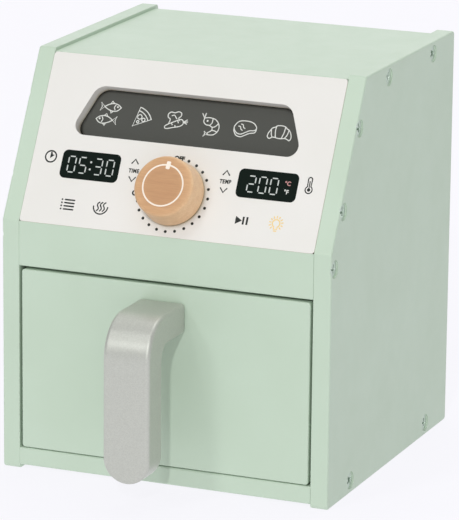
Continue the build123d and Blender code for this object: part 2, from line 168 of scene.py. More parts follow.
def sprayed_paint(name, light, dark, corner=None, recess=None):
    """Satin paint on fibreboard: a faint cloudiness, orange peel and a little dust in the coat.

    In recesses and round parts that stand close it is painted darker towards the corner colour, a painted
    shade, if recess gives what hidden() asks for.
    """
    paint = Finish(name, Specular_IOR_Level=0.45, Coat_Weight=0.12, Coat_Roughness=0.28)
    clouds = paint.spread(paint.noise(38, 3), 0, 1)
    speckle = paint.spread(paint.noise(0.7, 2), 0, 0.35)
    colour = paint.blend(speckle, paint.blend(clouds, light, dark), dark)
    if recess:
        # Painted shade: darker towards the corner colour where walls stand close
        colour = paint.blend(paint.hidden(*recess), colour, corner)
    peel = paint.bump(paint.noise(2.2, 1), 0.012)
    dust = paint.bump(paint.noise(0.35, 2), 0.004, under=peel)
    return paint.finish(
        Base_Color=colour,
        Roughness=paint.spread(paint.noise(9, 3), 0.4, 0.49),
        Normal=dust,
    )


def silver_paint():
    """Aluminium paint on wood: fine flakes that turn the light this way and that."""
    paint = Finish("silver_paint", Metallic=0.55, Coat_Weight=0.15, Coat_Roughness=0.35)
    flakes = paint.node(
        "ShaderNodeTexVoronoi", Vector=paint.place, Scale=1 / (0.4 * MM)
    ).outputs["Color"]
    flake = paint.node("ShaderNodeSeparateColor", Color=flakes).outputs["Red"]
    colour = paint.blend(flake, linear(187, 189, 181), linear(199, 201, 193))
    peel = paint.bump(paint.noise(1.6, 2), 0.008)
    return paint.finish(
        Base_Color=colour,
        Roughness=paint.spread(flake, 0.37, 0.47, 0, 1),
        Normal=paint.bump(flake, 0.006, under=peel),
    )


# The knob's wood, in millimetres from its axis: the face pales between the first two. Between the last
# two the side runs from painted shade to painted light
PALE_FROM, KNOB_RIM = 8, 14.5
SHADED_SIDE_END, LIT_SIDE_START = -9, 13
# The way towards which the side's painted light grows, up and to the right
LIT_SIDE_WAY = Vector((0.8, 0.3, 0.53))


def beech(name, out, middle):
    """Light hardwood with its grain across the knob, whose axis runs through middle along out.

    The face across out is darker than the turned side, and lightens towards its rim. The side carries
    painted light and shade: lighter towards the upper right, darker towards the lower left.
    """
    wood = Finish(name, Specular_IOR_Level=0.4, Coat_Weight=0.06, Coat_Roughness=0.35, Sheen_Weight=0.08)
    bands = wood.spread(wood.noise(2.6, 3, wood.stretched((0.1, 1, 1))), 0, 1)
    fibres = wood.spread(wood.noise(0.5, 3, wood.stretched((0.07, 1, 1))), 0, 1)
    normal = wood.node("ShaderNodeTexCoord").outputs["Normal"]
    facing = wood.vector_math("DOT_PRODUCT", normal, out)["Value"]
    on_face = wood.spread(facing, 0, 1, 0.55, 0.97)
    from_middle = wood.vector_math("SUBTRACT", wood.place, middle)["Vector"]
    across = wood.vector_math("CROSS_PRODUCT", from_middle, out)["Vector"]
    radius = wood.vector_math("LENGTH", across)["Value"]
    near_rim = wood.spread(radius, 0, 1, PALE_FROM * MM, KNOB_RIM * MM)
    centre = wood.blend(bands, linear(191, 144, 102), linear(199, 154, 111))
    rim = wood.blend(bands, linear(208, 164, 120), linear(216, 173, 129))
    face = wood.blend(near_rim, centre, rim)
    # Painted light and shade on the turned side: lighter towards the upper right, darker towards the
    # lower left
    lean = wood.vector_math("DOT_PRODUCT", from_middle, LIT_SIDE_WAY)["Value"]
    shaded_side = wood.blend(bands, linear(208, 168, 124), linear(217, 179, 138))
    lit_side = wood.blend(bands, linear(239, 197, 152), linear(248, 212, 168))
    toward_lit_side = wood.spread(lean, 0, 1, SHADED_SIDE_END * MM, LIT_SIDE_START * MM)
    side = wood.blend(toward_lit_side, shaded_side, lit_side)
    plain = wood.blend(on_face, side, face)
    colour = wood.blend(wood.spread(fibres, 0, 0.22, 0, 1), plain, linear(150, 104, 66))
    return wood.finish(
        Base_Color=colour,
        Roughness=wood.spread(bands, 0.46, 0.56, 0, 1),
        Normal=wood.bump(fibres, 0.008),
    )


def metal(name, colour, roughness):
    """Plated or turned metal with fine scratches."""
    plate = Finish(name, Metallic=1.0)
    cloud = plate.noise(1.5, 3)
    scratches = plate.noise(0.12, 2, plate.stretched((1, 0.08, 1), (0.4, 0.2, 0.9)))
    return plate.finish(
        Base_Color=plate.blend(cloud, colour, dimmed(colour, 0.86)),
        Roughness=plate.spread(cloud, roughness - 0.06, roughness + 0.08),
        Normal=plate.bump(scratches, 0.004),
    )


def glossy_sheet():
    """Dark acrylic sheet: almost a mirror, with a trace of unevenness, and painted shade that darkens it
    near the window's walls.
    """
    sheet = Finish("dark_display", IOR=1.52)
    cloud = sheet.noise(22, 2)
    tone = sheet.blend(cloud, linear(76, 77, 72), linear(80, 81, 76))
    return sheet.finish(
        # Painted shade: the sheet is darker near the window's walls
        Base_Color=sheet.blend(sheet.hidden(2.6, 0.6, 0.84), tone, linear(18, 18, 12)),
        Roughness=sheet.spread(cloud, 0.05, 0.09),
        Normal=sheet.bump(cloud, 0.02),
    )


def printing_ink(name, colour, slot, gloss=0.4):
    """Screen-printed ink with an uneven, slightly grainy film: its material and its slot."""
    film = Finish(name, Specular_IOR_Level=gloss)
    grain = film.noise(0.25, 2)
    material = film.finish(
        Base_Color=film.blend(grain, colour, dimmed(colour, 0.88)),
        Roughness=film.spread(grain, 0.44, 0.56),
        Normal=film.bump(grain, 0.003),
    )
    return material, slot


def moulded(name, colour):
    """Moulded nylon, a little cloudy."""
    nylon = Finish(name, Subsurface_Weight=0.1, Subsurface_Scale=0.002)
    cloud = nylon.noise(1.2, 2)
    return nylon.finish(
        Base_Color=nylon.blend(cloud, colour, dimmed(colour, 0.93)),
        Roughness=nylon.spread(cloud, 0.4, 0.5),
        Normal=nylon.bump(cloud, 0.01),
    )


mint_paint = sprayed_paint("mint_paint", linear(194, 212, 193), linear(190, 208, 188))
# White paint with painted shade in its corner colour: darker in the window's recess and round the knob's
# foot
white_paint = sprayed_paint(
    "white_paint",
    linear(229, 227, 222),
    linear(226, 224, 218),
    corner=linear(182, 167, 134),
    recess=(6.0, 0.45, 0.66),
)
silver = silver_paint()
dark_display = glossy_sheet()
dial_joint = next(j for j in frame["joints"] if j["name"] == "dial_turn")
panel_out = Vector(dial_joint["axis"]).normalized()
dial_centre = Vector(dial_joint["pos_m"])
natural_wood = beech("natural_wood", panel_out, dial_centre)
# The screw steel's green tint is a painted reflection of the mint paint round the screws
screw_steel = metal("screw_steel", linear(204, 218, 206), 0.38)
insert_brass = metal("insert_brass", linear(214, 180, 108), 0.28)
white_nylon = moulded("white_nylon", linear(236, 234, 226))
black_print = printing_ink("black_print", linear(22, 28, 25), "black_print")
display_black = printing_ink("display_black", linear(8, 22, 16), "black_print", gloss=0.08)
white_print = printing_ink("white_print", linear(228, 230, 224), "white_print")
digit_print = printing_ink("digit_print", linear(206, 212, 208), "white_print")
cream_print = printing_ink("cream_print", linear(252, 240, 224), "white_print")
red_print = printing_ink("red_print", linear(204, 150, 146), "white_print")
yellow_print = printing_ink("yellow_print", linear(244, 214, 142), "yellow_print")

# Each slot's material, and the CAD nodes that have it
painted_nodes = {
    "mint_paint": [
        mint_paint,
        "left_side_panel",
        "right_side_panel",
        "top_board",
        "bottom_board",
        "back_panel",
        "front_rail",
        "drawer_front",
        "drawer_left_side",
        "drawer_right_side",
        "drawer_back",
        "drawer_bottom",
    ],
    "white_paint": [white_paint, "control_panel"],
    "dark_display": [dark_display, "display_window"],
    "silver_paint": [silver, "drawer_handle"],
    "natural_wood": [natural_wood, "dial_knob", "front_rail_dowels", "drawer_front_dowels"],
    "screw_steel": [screw_steel, "window_screws", "handle_screws", "dial_bolt", "dial_rear_washer"],
    "insert_brass": [insert_brass, "dial_insert"],
    "white_nylon": [white_nylon, "dial_bush", "dial_front_washer"],
}
for slot_name, (material, *node_names) in painted_nodes.items():
    for node_name in node_names:
        node = frame["nodes"][node_name]
        node.material_slots[0].material = material

# Geometry Nodes


class Recipe:
    """A Geometry Nodes tree with named inputs, and a short way to add its nodes."""

    def __init__(self, name, **inputs):
        self.tree = bpy.data.node_groups.new(name, "GeometryNodeTree")
        face = self.tree.interface
        face.new_socket("Geometry", in_out="INPUT", socket_type="NodeSocketGeometry")
        kinds = {bpy.types.Material: "NodeSocketMaterial", bpy.types.Object: "NodeSocketObject"}
        for label, value in inputs.items():
            number = "NodeSocketInt" if isinstance(value, int) else "NodeSocketFloat"
            socket = face.new_socket(label, in_out="INPUT", socket_type=kinds.get(value, number))
            if value not in kinds:
                socket.default_value = value
        face.new_socket("Geometry", in_out="OUTPUT", socket_type="NodeSocketGeometry")
        self.given = self.tree.nodes.new("NodeGroupInput").outputs

    def node(self, kind, settings=None, **inputs):
        return add_node(self.tree, kind, settings, inputs).outputs

    def join(self, *parts):
        """One geometry of several."""
        made = self.tree.nodes.new("GeometryNodeJoinGeometry")
        for part in parts:
            self.tree.links.new(part, made.inputs[0])
        return made.outputs[0]

    def math(self, operation, first, second):
        """The result of maths on two numbers."""
        return self.node("ShaderNodeMath", {"operation": operation}, input0=first, input1=second)[0]

    def compare(self, operation, first, second):
        """Whether a comparison of two numbers holds."""
        settings = {"data_type": "FLOAT", "operation": operation}
        return self.node("FunctionNodeCompare", settings, input0=first, input1=second)[0]

    def end(self, geometry):
        """The finished tree: its geometry made real, with the material that it is given."""
        real = self.node("GeometryNodeRealizeInstances", Geometry=geometry)[0]
        done = self.node("GeometryNodeSetMaterial", Geometry=real, Material=self.given["Material"])[0]
        self.tree.links.new(done, self.tree.nodes.new("NodeGroupOutput").inputs[0])
        return self.tree


def grown(name, source_mesh, tree, **values):
    """The plain mesh object that a tree makes from a source mesh."""
    source = bpy.data.objects.new(name + "_source", source_mesh)
    scene.collection.objects.link(source)
    modifier = source.modifiers.new("recipe", "NODES")
    modifier.node_group = tree
    names = {item.name: item.identifier for item in tree.interface.items_tree if item.in_out == "INPUT"}
    for label, value in values.items():
        modifier[names[label]] = value
    bpy.context.view_layer.update()
    ready = source.evaluated_get(bpy.context.evaluated_depsgraph_get())
    mesh = bpy.data.meshes.new_from_object(ready)
    source.modifiers.clear()
    bpy.data.objects.remove(source)
    mesh.name = name
    piece = bpy.data.objects.new(name, mesh)
    scene.collection.objects.link(piece)
    return piece


def ink_line_recipe():
    """Raised lines of ink: a low round-backed section along each path, with round ends and corners."""
    recipe = Recipe("ink_lines", Width=0.5, Height=0.06, Material=bpy.types.Material)
    paths, width, height = recipe.given["Geometry"], recipe.given["Width"], recipe.given["Height"]
    curve = recipe.node("GeometryNodeMeshToCurve", Mesh=paths)[0]
    curve = recipe.node("GeometryNodeSetCurveNormal", {"mode": "Z_UP"}, Curve=curve)[0]
    half = recipe.math("MULTIPLY", width, 0.5)
    flatness = recipe.math("DIVIDE", height, half)
    section = recipe.node("GeometryNodeCurvePrimitiveCircle", Resolution=10, Radius=half)[0]
    squeeze = recipe.node("ShaderNodeCombineXYZ", X=1.0, Y=flatness, Z=1.0)[0]
    section = recipe.node("GeometryNodeTransform", Geometry=section, Scale=squeeze)[0]
    line = recipe.node("GeometryNodeCurveToMesh", Curve=curve, Profile_Curve=section, Fill_Caps=True)[0]
    blob = recipe.node("GeometryNodeMeshUVSphere", Segments=14, Rings=6, Radius=half)[0]
    squash = recipe.node("ShaderNodeCombineXYZ", X=1.0, Y=1.0, Z=flatness)[0]
    corner = recipe.node(
        "GeometryNodeInputNamedAttribute", {"data_type": "BOOLEAN"}, Name="corner"
    )["Attribute"]
    ends = recipe.node(
        "GeometryNodeInstanceOnPoints", Points=paths, Selection=corner, Instance=blob, Scale=squash
    )[0]
    return recipe.end(recipe.join(line, ends))


def ink_patch_recipe():
    """Filled shapes of ink, a film thick."""
    recipe = Recipe("ink_patches", Height=0.06, Material=bpy.types.Material)
    curve = recipe.node("GeometryNodeMeshToCurve", Mesh=recipe.given["Geometry"])[0]
    flat = recipe.node("GeometryNodeFillCurve", {"mode": "NGONS"}, Curve=curve)[0]
    film = recipe.node(
        "GeometryNodeExtrudeMesh", Mesh=flat, Offset_Scale=recipe.given["Height"], Individual=False
    )[0]
    under = recipe.node("GeometryNodeFlipFaces", Mesh=flat)[0]
    both = recipe.join(film, under)
    whole = recipe.node("GeometryNodeMergeByDistance", Geometry=both, Distance=1e-6)[0]
    return recipe.end(whole)


ink_lines = ink_line_recipe()
ink_patches = ink_patch_recipe()

# Where the prints lie, in millimetres: x across the toy, and up the slope from DIAL_UP below the dial
DIAL_UP = 21.0
panel_up = Vector((0, panel_out.z, -panel_out.y))
panel_origin = Vector((0, dial_centre.y, dial_centre.z)) - panel_up * DIAL_UP * MM
# The dark sheet's depth behind the panel's face, and the height of the knob's face over it
SHEET_DEPTH = 6.2
KNOB_FACE = 15.0
# How far a print stands off what carries it, and how far it reaches in
INK_FILM = 0.06
INK_SUNK = 0.02
# The least turn of a path, in radians, that counts as a sharp corner
SHARP_TURN = 0.35
# The steps of a smooth curve from one of its given points to the next
SMOOTH_STEPS = 6


def panel_matrix(lift):
    """Puts a flat shape in millimetres on the sloping panel, lifted so far off its face."""
    turn = Matrix((Vector((1, 0, 0)), panel_up, panel_out)).transposed().to_4x4()
    return Matrix.Translation(panel_origin + panel_out * lift * MM) @ turn @ Matrix.Scale(MM, 4)


def path_mesh(name, paths):
    """One mesh of the paths' points and edges. Ends and sharp corners are marked."""
    mesh = bpy.data.meshes.new(name)
    points, edges, corners = [], [], []
    for path, closed in paths:
        first, count = len(points), len(path)
        points += [(x, y, 0) for x, y in path]
        edges += [(first + i, first + i + 1) for i in range(count - 1)]
        if closed:
            edges.append((first + count - 1, first))
        for i, here in enumerate(path):
            if not closed and i in (0, count - 1):
                corners.append(True)
                continue
            before, after = Vector(path[i - 1]), Vector(path[(i + 1) % count])
            here = Vector(here)
            corners.append((here - before).angle(after - here, 0) > SHARP_TURN)
    mesh.from_pydata(points, edges, [])
    mark = mesh.attributes.new("corner", "BOOLEAN", "POINT")
    mark.data.foreach_set("value", corners)
    return mesh


def put_print(piece, lift, body):
    """Puts a flat print so far off the panel's face, and gives it its body."""
    piece.data.transform(panel_matrix(lift))
    piece.data.update()
    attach(piece, body)


def print_lines(name, paths, width, ink, lift=0.0, body="casing"):
    """Ink lines along paths of (points, closed)."""
    material, slot = ink
    piece = grown(
        name, path_mesh(name, paths), ink_lines, Width=width, Height=INK_FILM, Material=material
    )
    put_print(piece, lift, body)


def print_patches(name, outlines, ink, lift=0.0, body="casing", height=INK_FILM):
    """Filled shapes of ink inside closed outlines."""
    material, slot = ink
    mesh = path_mesh(name, [(outline, True) for outline in outlines])
    piece = grown(name, mesh, ink_patches, Height=height + INK_SUNK, Material=material)
    put_print(piece, lift - INK_SUNK, body)


def arc(x, y, radius, start, end, steps):
    """Points along an arc, in degrees counted anticlockwise from the right."""
    turns = [math.radians(start + (end - start) * i / steps) for i in range(steps + 1)]
    return [(x + radius * math.cos(t), y + radius * math.sin(t)) for t in turns]


def circle(x, y, radius, steps=28):
    """The corners of a circle's outline."""
    return arc(x, y, radius, 0, 360, steps)[:-1]


def rounded_box(x, y, width, height, radius):
    """The outline of a box about (x, y) with round corners."""
    right, top = width / 2 - radius, height / 2 - radius
    corners = ((right, top, 0), (-right, top, 90), (-right, -top, 180), (right, -top, 270))
    return [p for dx, dy, turn in corners for p in arc(x + dx, y + dy, radius, turn, turn + 90, 8)]


def smooth(points, closed=False):
    """A smooth curve through the points: a Catmull-Rom spline."""
    count = len(points)

    def near(i):
        return Vector(points[i % count if closed else min(max(i, 0), count - 1)])

    made = []
    for i in range(count if closed else count - 1):
        a, b, c, d = (near(i + k) for k in (-1, 0, 1, 2))
        for k in range(SMOOTH_STEPS):
            t = k / SMOOTH_STEPS
            point = 2 * b + (c - a) * t
            point += (2 * a - 5 * b + 4 * c - d) * t * t
            point += (3 * b - a - 3 * c + d) * t**3
            made.append(tuple(0.5 * point))
    return made if closed else made + [tuple(points[-1])]


def moved(path, dx, dy, turn=0.0, grow=1.0, flip=1):
    """A path's points turned by degrees, scaled and moved. With flip -1 they are mirrored first."""
    c, s = math.cos(math.radians(turn)), math.sin(math.radians(turn))
    return [
        (dx + grow * (flip * x * c - y * s), dy + grow * (flip * x * s + y * c)) for x, y in path
    ]


# Displays: black fields with bar digits
FIELD_WIDTH, FIELD_HEIGHT, FIELD_ROUND = 30.8, 14.3, 2.7
TIME_UP, TEMPERATURE_UP = 30.45, 30.3
OVER_FIELD = INK_FILM
DIGIT_WIDTH, DIGIT_HEIGHT = 3.75, 7.9
COLON_RADIUS = 0.52
# A bar's width, its gap to the grid's corner, and the length of its points as a share of its width
BAR, BAR_GAP, BAR_POINT = 0.56, 0.46, 0.42
bars_of_digit = {"0": "abcdef", "2": "abged", "3": "abgcd", "5": "afgcd"}


def bar(x0, y0, x1, y1):
    """A six-sided bar of a digit between two corners of its grid."""
    start, end = Vector((x0, y0)), Vector((x1, y1))
    along = (end - start).normalized()
    across = Vector((-along.y, along.x)) * BAR / 2
    start, end = start + along * BAR_GAP, end - along * BAR_GAP
    slant = along * BAR * BAR_POINT
    under = [start + slant - across, end - slant - across]
    over = [end - slant + across, start + slant + across]
    return [tuple(p) for p in (start, *under, end, *over)]


def digit(character, x, y):
    """The bars of one digit about (x, y)."""
    w, h = DIGIT_WIDTH / 2, DIGIT_HEIGHT / 2
    grid = {
        "a": (x - w, y + h, x + w, y + h),
        "b": (x + w, y + h, x + w, y),
        "c": (x + w, y, x + w, y - h),
        "d": (x - w, y - h, x + w, y - h),
        "e": (x - w, y, x - w, y - h),
        "f": (x - w, y + h, x - w, y),
        "g": (x - w, y, x + w, y),
    }
    return [bar(*grid[name]) for name in bars_of_digit[character]]


def number(digits, up):
    """The bars of a number, whose digits come with the place of their middles."""
    return [shape for character, x in digits for shape in digit(character, x, up)]


def field(name, x, y):
    """A black display with round corners."""
    outline = rounded_box(x, y, FIELD_WIDTH, FIELD_HEIGHT, FIELD_ROUND)
    print_patches(name, [outline], display_black)


field("time_display", -45.7, TIME_UP)
field("temperature_display", 47.0, TEMPERATURE_UP)
time_digits = number((("0", -55.6), ("5", -49.8), ("3", -41.5), ("0", -35.3)), TIME_UP)
colon = [circle(-45.6, up, COLON_RADIUS) for up in (32.4, 28.8)]
temperature_digits = number((("2", 38.8), ("0", 44.6), ("0", 50.4)), TEMPERATURE_UP - 0.15)
print_patches("time_digits", time_digits + colon, digit_print, OVER_FIELD)
print_patches("temperature_digits", temperature_digits, digit_print, OVER_FIELD)

# Words, and the dots round the dial
DOTS_UP, DOTS_RADIUS, DOT_RADIUS = 20.5, 18.2, 0.74
# The height of the font's capitals, as a share of its size
CAPITAL_HEIGHT = 0.729


def print_word(name, word, place, height, ink, bold, lift=0.0, stretch=1.0, spacing=1.0):
    """A printed word with its middle at place, whose capitals are height high."""
    material, slot = ink
    text = bpy.data.curves.new(name, "FONT")
    text.body = word
    text.align_x, text.align_y = "CENTER", "CENTER"
    text.size, text.offset = height / CAPITAL_HEIGHT, bold * height
    text.extrude = (INK_FILM + INK_SUNK) / 2
    text.resolution_u = 6
    text.space_character = spacing
    holder = bpy.data.objects.new(name + "_text", text)
    scene.collection.objects.link(holder)
    bpy.context.view_layer.update()
    mesh = bpy.data.meshes.new_from_object(
        holder.evaluated_get(bpy.context.evaluated_depsgraph_get())
    )
    bpy.data.objects.remove(holder)
    xs, ys = [v.co.x for v in mesh.vertices], [v.co.y for v in mesh.vertices]
    centre = Vector((-(min(xs) + max(xs)) / 2, -(min(ys) + max(ys)) / 2, 0.0))
    mesh.transform(
        Matrix.Translation((*place, (INK_FILM - INK_SUNK) / 2))
        @ Matrix.Diagonal((stretch, 1, 1, 1))
        @ Matrix.Translation(centre)
    )
    merge = bmesh.new()
    merge.from_mesh(mesh)
    bmesh.ops.remove_doubles(merge, verts=merge.verts, dist=1e-4)
    merge.to_mesh(mesh)
    merge.free()
    mesh.materials.clear()
    mesh.materials.append(material)
    piece = bpy.data.objects.new(name, mesh)
    scene.collection.objects.link(piece)
    put_print(piece, lift, "casing")


print_word("word_time", "TIME", (-22.6, 30.45), 2.0, black_print, 0.055, stretch=0.84, spacing=1.14)
print_word("word_temp", "TEMP", (25.4, 30.0), 2.0, black_print, 0.055, stretch=0.82, spacing=1.14)
print_word("word_off", "OFF", (-0.3, 38.95), 2.2, black_print, 0.075)
print_word("word_on", "ON", (-18.4, 19.65), 2.6, black_print, 0.07)
print_word("unit_celsius", "°C", (57.2, 32.3), 2.1, red_print, 0.03, OVER_FIELD)
print_word("unit_fahrenheit", "°F", (57.2, 28.1), 2.1, white_print, 0.03, OVER_FIELD)


def dial_dots_recipe():
    """A ring of dots with a part left open: one dot a step, clockwise from the first."""
    recipe = Recipe(
        "dial_dots",
        Ring=DOTS_RADIUS,
        Dot=DOT_RADIUS,
        Steps=24,
        First=1,
        Last=17,
        Height=INK_FILM + INK_SUNK,
        Material=bpy.types.Material,
    )
    given = recipe.given
    ring = recipe.node("GeometryNodeMeshCircle", Vertices=given["Steps"], Radius=given["Ring"])[0]
    quarter_turn = (0, 0, math.radians(90))
    upright = recipe.node("GeometryNodeTransform", Geometry=ring, Rotation=quarter_turn)[0]
    place = recipe.node("GeometryNodeInputIndex")[0]
    back = recipe.math("SUBTRACT", given["Steps"], place)
    after = recipe.compare("GREATER_EQUAL", back, given["First"])
    until = recipe.compare("LESS_EQUAL", back, given["Last"])
    both = recipe.node("FunctionNodeBooleanMath", {"operation": "AND"}, input0=after, input1=until)[0]
    dot = recipe.node(
        "GeometryNodeMeshCylinder", Vertices=20, Radius=given["Dot"], Depth=given["Height"]
    )[0]
    row = recipe.node("GeometryNodeInstanceOnPoints", Points=upright, Selection=both, Instance=dot)[0]
    return recipe.end(row)


dots_material, dots_slot = black_print
dots = grown(
    "dial_dots", bpy.data.meshes.new("no_source"), dial_dots_recipe(), Material=dots_material
)
dots.data.transform(Matrix.Translation((0, DOTS_UP, (INK_FILM - INK_SUNK) / 2)))
put_print(dots, 0.0, "casing")

# Small signs on the white panel, and how wide their lines are
THIN, SLIM, FINE, MIDDLE = 0.55, 0.6, 0.68, 0.76
LAMP_LINE = 0.62
ARROW_HALF, ARROW_RISE = 1.65, 1.05


def chevrons(name, x, high, low):
    """The two arrow heads above and below a word."""
    left, right = x - ARROW_HALF, x + ARROW_HALF
    up = [(left, high - ARROW_RISE), (x, high + ARROW_RISE), (right, high - ARROW_RISE)]
    down = [(left, low + ARROW_RISE), (x, low - ARROW_RISE), (right, low + ARROW_RISE)]
    print_lines(name, [(up, False), (down, False)], FINE, black_print)


chevrons("time_arrows", -22.75, 35.15, 26.2)
chevrons("temperature_arrows", 25.2, 34.35, 25.6)

clock_ring = circle(-67.35, 33.25, 2.85, 40)
print_lines("clock_sign_ring", [(clock_ring, True)], MIDDLE, black_print)
clock_hands = [(-67.75, 32.3), (-65.5, 34.1), (-66.6, 34.3), (-67.0, 35.6), (-67.6, 35.6)]
print_patches("clock_sign_hands", [clock_hands], black_print)

list_rows = [12.6, 11.02, 9.44, 7.86]
list_lines = [([(-55.0, up), (-50.1, up)], False) for up in list_rows]
list_dots = [circle(-56.55, up, 0.45) for up in list_rows]
print_lines("list_sign", list_lines, MIDDLE, black_print)
print_patches("list_sign_dots", list_dots, black_print)

steam = [(-0.3, -2.3), (0.45, -1.3), (0.2, -0.3), (-0.35, 0.7), (-0.1, 1.7), (0.65, 2.3)]
bowl = [(arc(-35.9, 11.0, 3.75, 182, 358, 30), False)]
wisps = [(smooth(moved(steam, x, 10.95, grow=0.93)), False) for x in (-37.4, -35.8, -34.2)]
print_lines("warm_dish_sign", bowl + wisps, FINE, black_print)

TUBE_X, TUBE_BULB_UP = 68.1, 30.25
tube = arc(TUBE_X, TUBE_BULB_UP, 1.75, 120, 420, 36) + arc(TUBE_X, 35.4, 1.0, 0, 180, 14)
column = [(TUBE_X, 30.4), (TUBE_X, 34.4)]
print_lines("thermometer_sign", [(tube, True)], SLIM, black_print)
print_lines("thermometer_sign_column", [(column, False)], THIN, black_print)
print_patches("thermometer_sign_bulb", [circle(TUBE_X, TUBE_BULB_UP, 0.85)], black_print)

play = [(34.4, 9.85), (37.7, 11.85), (34.4, 13.85)]
pause = [
    [(left, 9.95), (right, 9.95), (right, 13.8), (left, 13.8)]
    for left, right in ((37.95, 38.9), (39.85, 40.8))
]
print_patches("play_pause_sign", [play] + pause, black_print)

LAMP_X, LAMP_UP = 55.2, 12.25
rays = [
    (moved([(2.75, 0), (3.5, 0)], LAMP_X, LAMP_UP, turn), False)
    for turn in (-45, -18, 10, 37, 64, 90, 116, 143, 170, 198, 225)
]
bulb = arc(LAMP_X, LAMP_UP, 1.9, -62, 242, 30)
bulb += [(LAMP_X - 0.85, LAMP_UP - 2.85), (LAMP_X + 0.85, LAMP_UP - 2.85)]
base = [(LAMP_X - 0.6, LAMP_UP - 3.75), (LAMP_X + 0.6, LAMP_UP - 3.75)]
print_lines("lamp_sign", [(bulb, True), (base, False)] + rays, LAMP_LINE, yellow_print)

# Food signs on the dark sheet, and how wide their lines and how large their eyes are
FOOD_LINE = 0.53
EYE_RADIUS = 0.5


def fish(x, y, flip):
    """A plain fish with fins, a gill and an eye."""
    back_line = smooth([(-3.3, 0.1), (-1.2, 1.35), (1.2, 1.95), (3.6, 1.45), (5.4, 0.1)])
    belly_line = smooth([(-3.3, -0.1), (-1.2, -1.25), (1.2, -1.95), (3.6, -1.6), (5.4, 0.1)])
    tail = [(-3.3, 0), (-5.4, 1.9), (-4.75, 0), (-5.4, -1.9)]
    top_fin = [(-0.6, 1.55), (0.3, 3.0), (1.5, 1.95)]
    low_fin = [(0.0, -1.8), (0.5, -2.9), (1.6, -1.95)]
    gill = smooth([(2.3, 1.2), (1.75, 0), (2.3, -1.2)])
    paths = [(back_line, False), (belly_line, False), (tail, True)]
    paths += [(line, False) for line in (top_fin, low_fin, gill)]
    eye = (x + flip * 3.5, y + 0.35)
    return [(moved(path, x, y, flip=flip), closed) for path, closed in paths], eye


def pizza_slice(x, y):
    """A slice with a raised crust and three round toppings."""
    crust = arc(x, y, 10.0, 24, 76, 16)
    rim = arc(x, y, 8.2, 24, 76, 14)
    rounds = []
    for from_tip, turn, radius in ((5.7, 59, 1.15), (6.2, 35, 0.85), (3.3, 45, 0.6)):
        middle = moved([(from_tip, 0)], x, y, turn)[0]
        rounds.append((circle(*middle, radius, 18), True))
    return [([(x, y)] + crust, True), (rim, False)] + rounds


def toast_and_carrot(x, y):
    """A slice of bread that leans behind a carrot."""
    bread = [(-3.6, -1.7), (-3.0, 0.7), (-4.3, 1.7), (-4.4, 3.4), (-3.0, 4.4), (-1.2, 4.2)]
    bread += [(0.6, 4.9), (2.2, 4.3), (2.3, 2.8), (1.3, 1.7), (2.0, 0.5)]
    butter = smooth([(-2.4, 2.6), (-1.2, 3.0), (-0.5, 2.2), (0.3, 1.3)])
    carrot = [(-5.2, -3.4), (-4.3, -4.1), (-1.0, -3.3), (2.6, -2.3), (4.0, -1.0)]
    carrot += [(3.7, 0.6), (2.3, 1.1), (-1.0, -0.4), (-4.6, -2.4)]
    marks = [[(-2.0, -1.2), (-1.4, -1.9)], [(1.0, 0.3), (1.5, -0.6)], [(0.3, -2.9), (0.0, -2.2)]]
    leaves = [[(4.0, -0.1), (6.2, 0.2)], [(4.0, -0.1), (5.9, 1.2)], [(4.0, -0.1), (5.9, -0.9)]]
    paths = [(smooth(bread), False), (butter, False), (smooth(carrot, True), True)]
    paths += [(line, False) for line in marks + leaves]
    return [(moved(path, x, y), closed) for path, closed in paths]


def shrimp(x, y):
    """A curled shrimp with feelers, banded shell and tail."""
    back_line = [(-3.8, 3.3), (-1.0, 3.7), (2.2, 2.9), (4.3, 0.4)]
    back_line += [(4.3, -2.4), (2.3, -4.6), (-0.9, -4.9)]
    belly_line = [(-3.8, 3.3), (-3.9, 1.5), (-2.6, 0.1), (-0.6, -0.2)]
    belly_line += [(0.9, -1.1), (1.0, -2.5), (-0.9, -3.9)]
    bands = [
        [(0.6, 3.4), (0.5, 1.2), (-0.6, -0.2)],
        [(3.9, 1.2), (2.6, -0.4), (0.9, -1.1)],
        [(3.9, -3.2), (2.4, -2.6), (1.0, -2.5)],
    ]
    feelers = [[(-3.8, 3.3), (-5.2, 5.4)], [(-3.8, 3.3), (-3.4, 5.6)]]
    tail = [(-0.9, -4.4), (-2.6, -3.4), (-2.2, -4.6), (-2.8, -5.7)]
    paths = [(smooth(back_line), False), (smooth(belly_line), False), (tail, True)]
    paths += [(smooth(band), False) for band in bands] + [(line, False) for line in feelers]
    return [(moved(path, x, y), closed) for path, closed in paths], (x - 2.0, y + 2.0)


def steak(x, y):
    """A thick steak with grill marks."""
    top = [(-5.6, 0.4), (-3.6, 3.3), (0.2, 3.9), (3.8, 3.2), (5.8, 1.2)]
    top += [(5.2, -0.4), (2.6, -0.8), (0.4, -1.9), (-1.8, -2.9), (-4.2, -2.2)]
    edge = [(-5.6, 0.4), (-5.5, -1.4), (-4.0, -3.6), (-1.6, -4.2), (0.6, -3.2)]
    edge += [(2.8, -2.1), (5.2, -1.6), (5.9, -0.2), (5.8, 1.2)]
    marks = [
        [(-3.4, 1.0), (-2.5, 0.8), (-2.0, -0.4), (-1.2, -0.9)],
        [(-2.2, 2.1), (-1.2, 1.8), (-0.8, 0.6), (0.0, 0.1)],
    ]
    paths = [(smooth(top, True), True), (smooth(edge), False)]
    paths += [(smooth(mark), False) for mark in marks]
    return [(moved(path, x, y), closed) for path, closed in paths]


